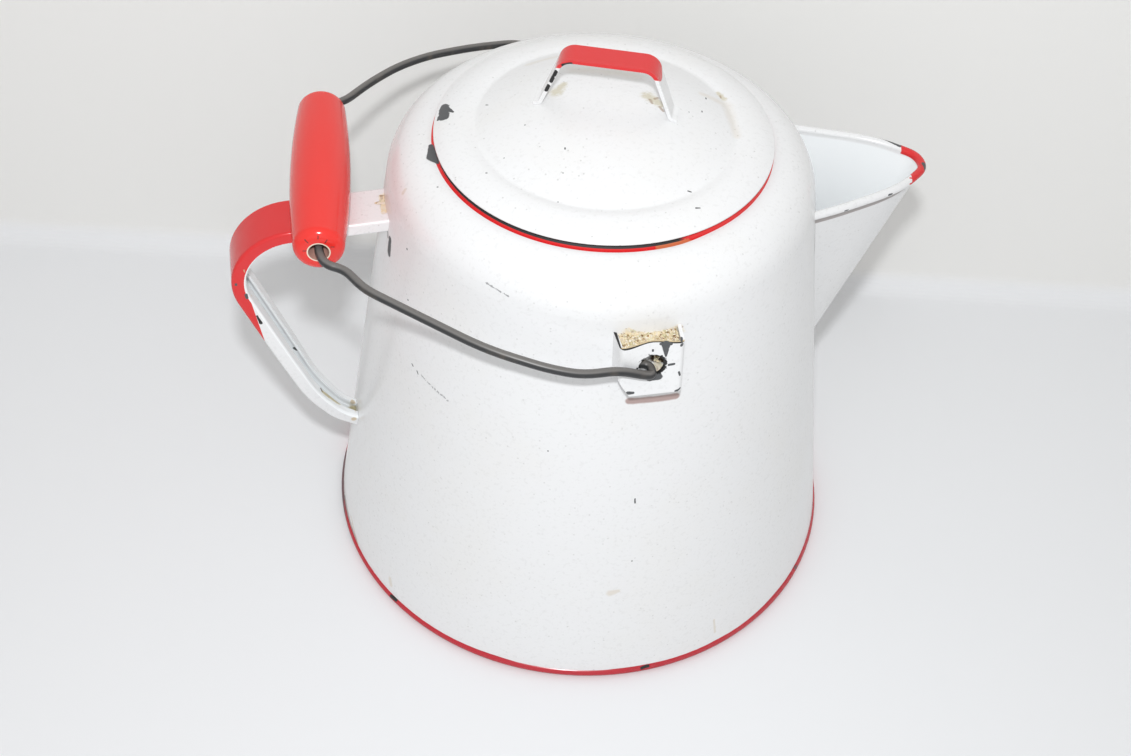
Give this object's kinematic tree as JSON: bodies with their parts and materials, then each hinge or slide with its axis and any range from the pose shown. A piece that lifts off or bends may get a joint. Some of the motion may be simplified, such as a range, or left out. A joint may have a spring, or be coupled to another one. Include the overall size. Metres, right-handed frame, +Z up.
{
  "type": "enamel coffee pot",
  "caption": "Tapered enamelled steel coffee pot with a lift-off lid, a V spout, a strap handle behind and a wire bail with a turned wooden grip.",
  "frame": {"origin": "on the pot's axis, in the plane that its base stands on", "axes": "+Z up along the pot's axis, +X towards the spout with the strap handle at -X, +Y across from the right ear to the left ear"},
  "size_m": [0.2887, 0.23, 0.2434],
  "materials": {
    "white_enamel": "glossy vitreous enamel, worn",
    "red_enamel": "glossy vitreous enamel, worn",
    "steel_wire": "drawn steel wire, tarnished",
    "red_wood": "turned wood under gloss paint"
  },
  "bodies": {
    "pot": {"body_shell": "white_enamel", "bottom_pan": "red_enamel", "spout": "white_enamel", "right_ear": "white_enamel", "left_ear": "white_enamel", "rear_handle": "red_enamel"},
    "lid": {"lid_shell": "white_enamel", "lid_skirt": "white_enamel", "lid_handle": "red_enamel"},
    "bail": {"bail_wire": "steel_wire"},
    "grip": {"bail_grip": "red_wood"}
  },
  "joints": [
    {"name": "lid_lift", "type": "slide", "parent": "pot", "child": "lid", "axis": [0, 0, 1], "range_m": [0, 0.06]},
    {"name": "bail_swing", "type": "hinge", "parent": "pot", "child": "bail", "pos_m": [0, 0, 0.1732], "axis": [0, 1, 0], "range_deg": [0, 157]},
    {"name": "grip_spin", "type": "hinge", "parent": "bail", "child": "grip", "pos_m": [-0.11078, 0.0083, 0.19278], "axis": [0.0875, 0.996, -0.0155], "continuous": true}
  ]
}
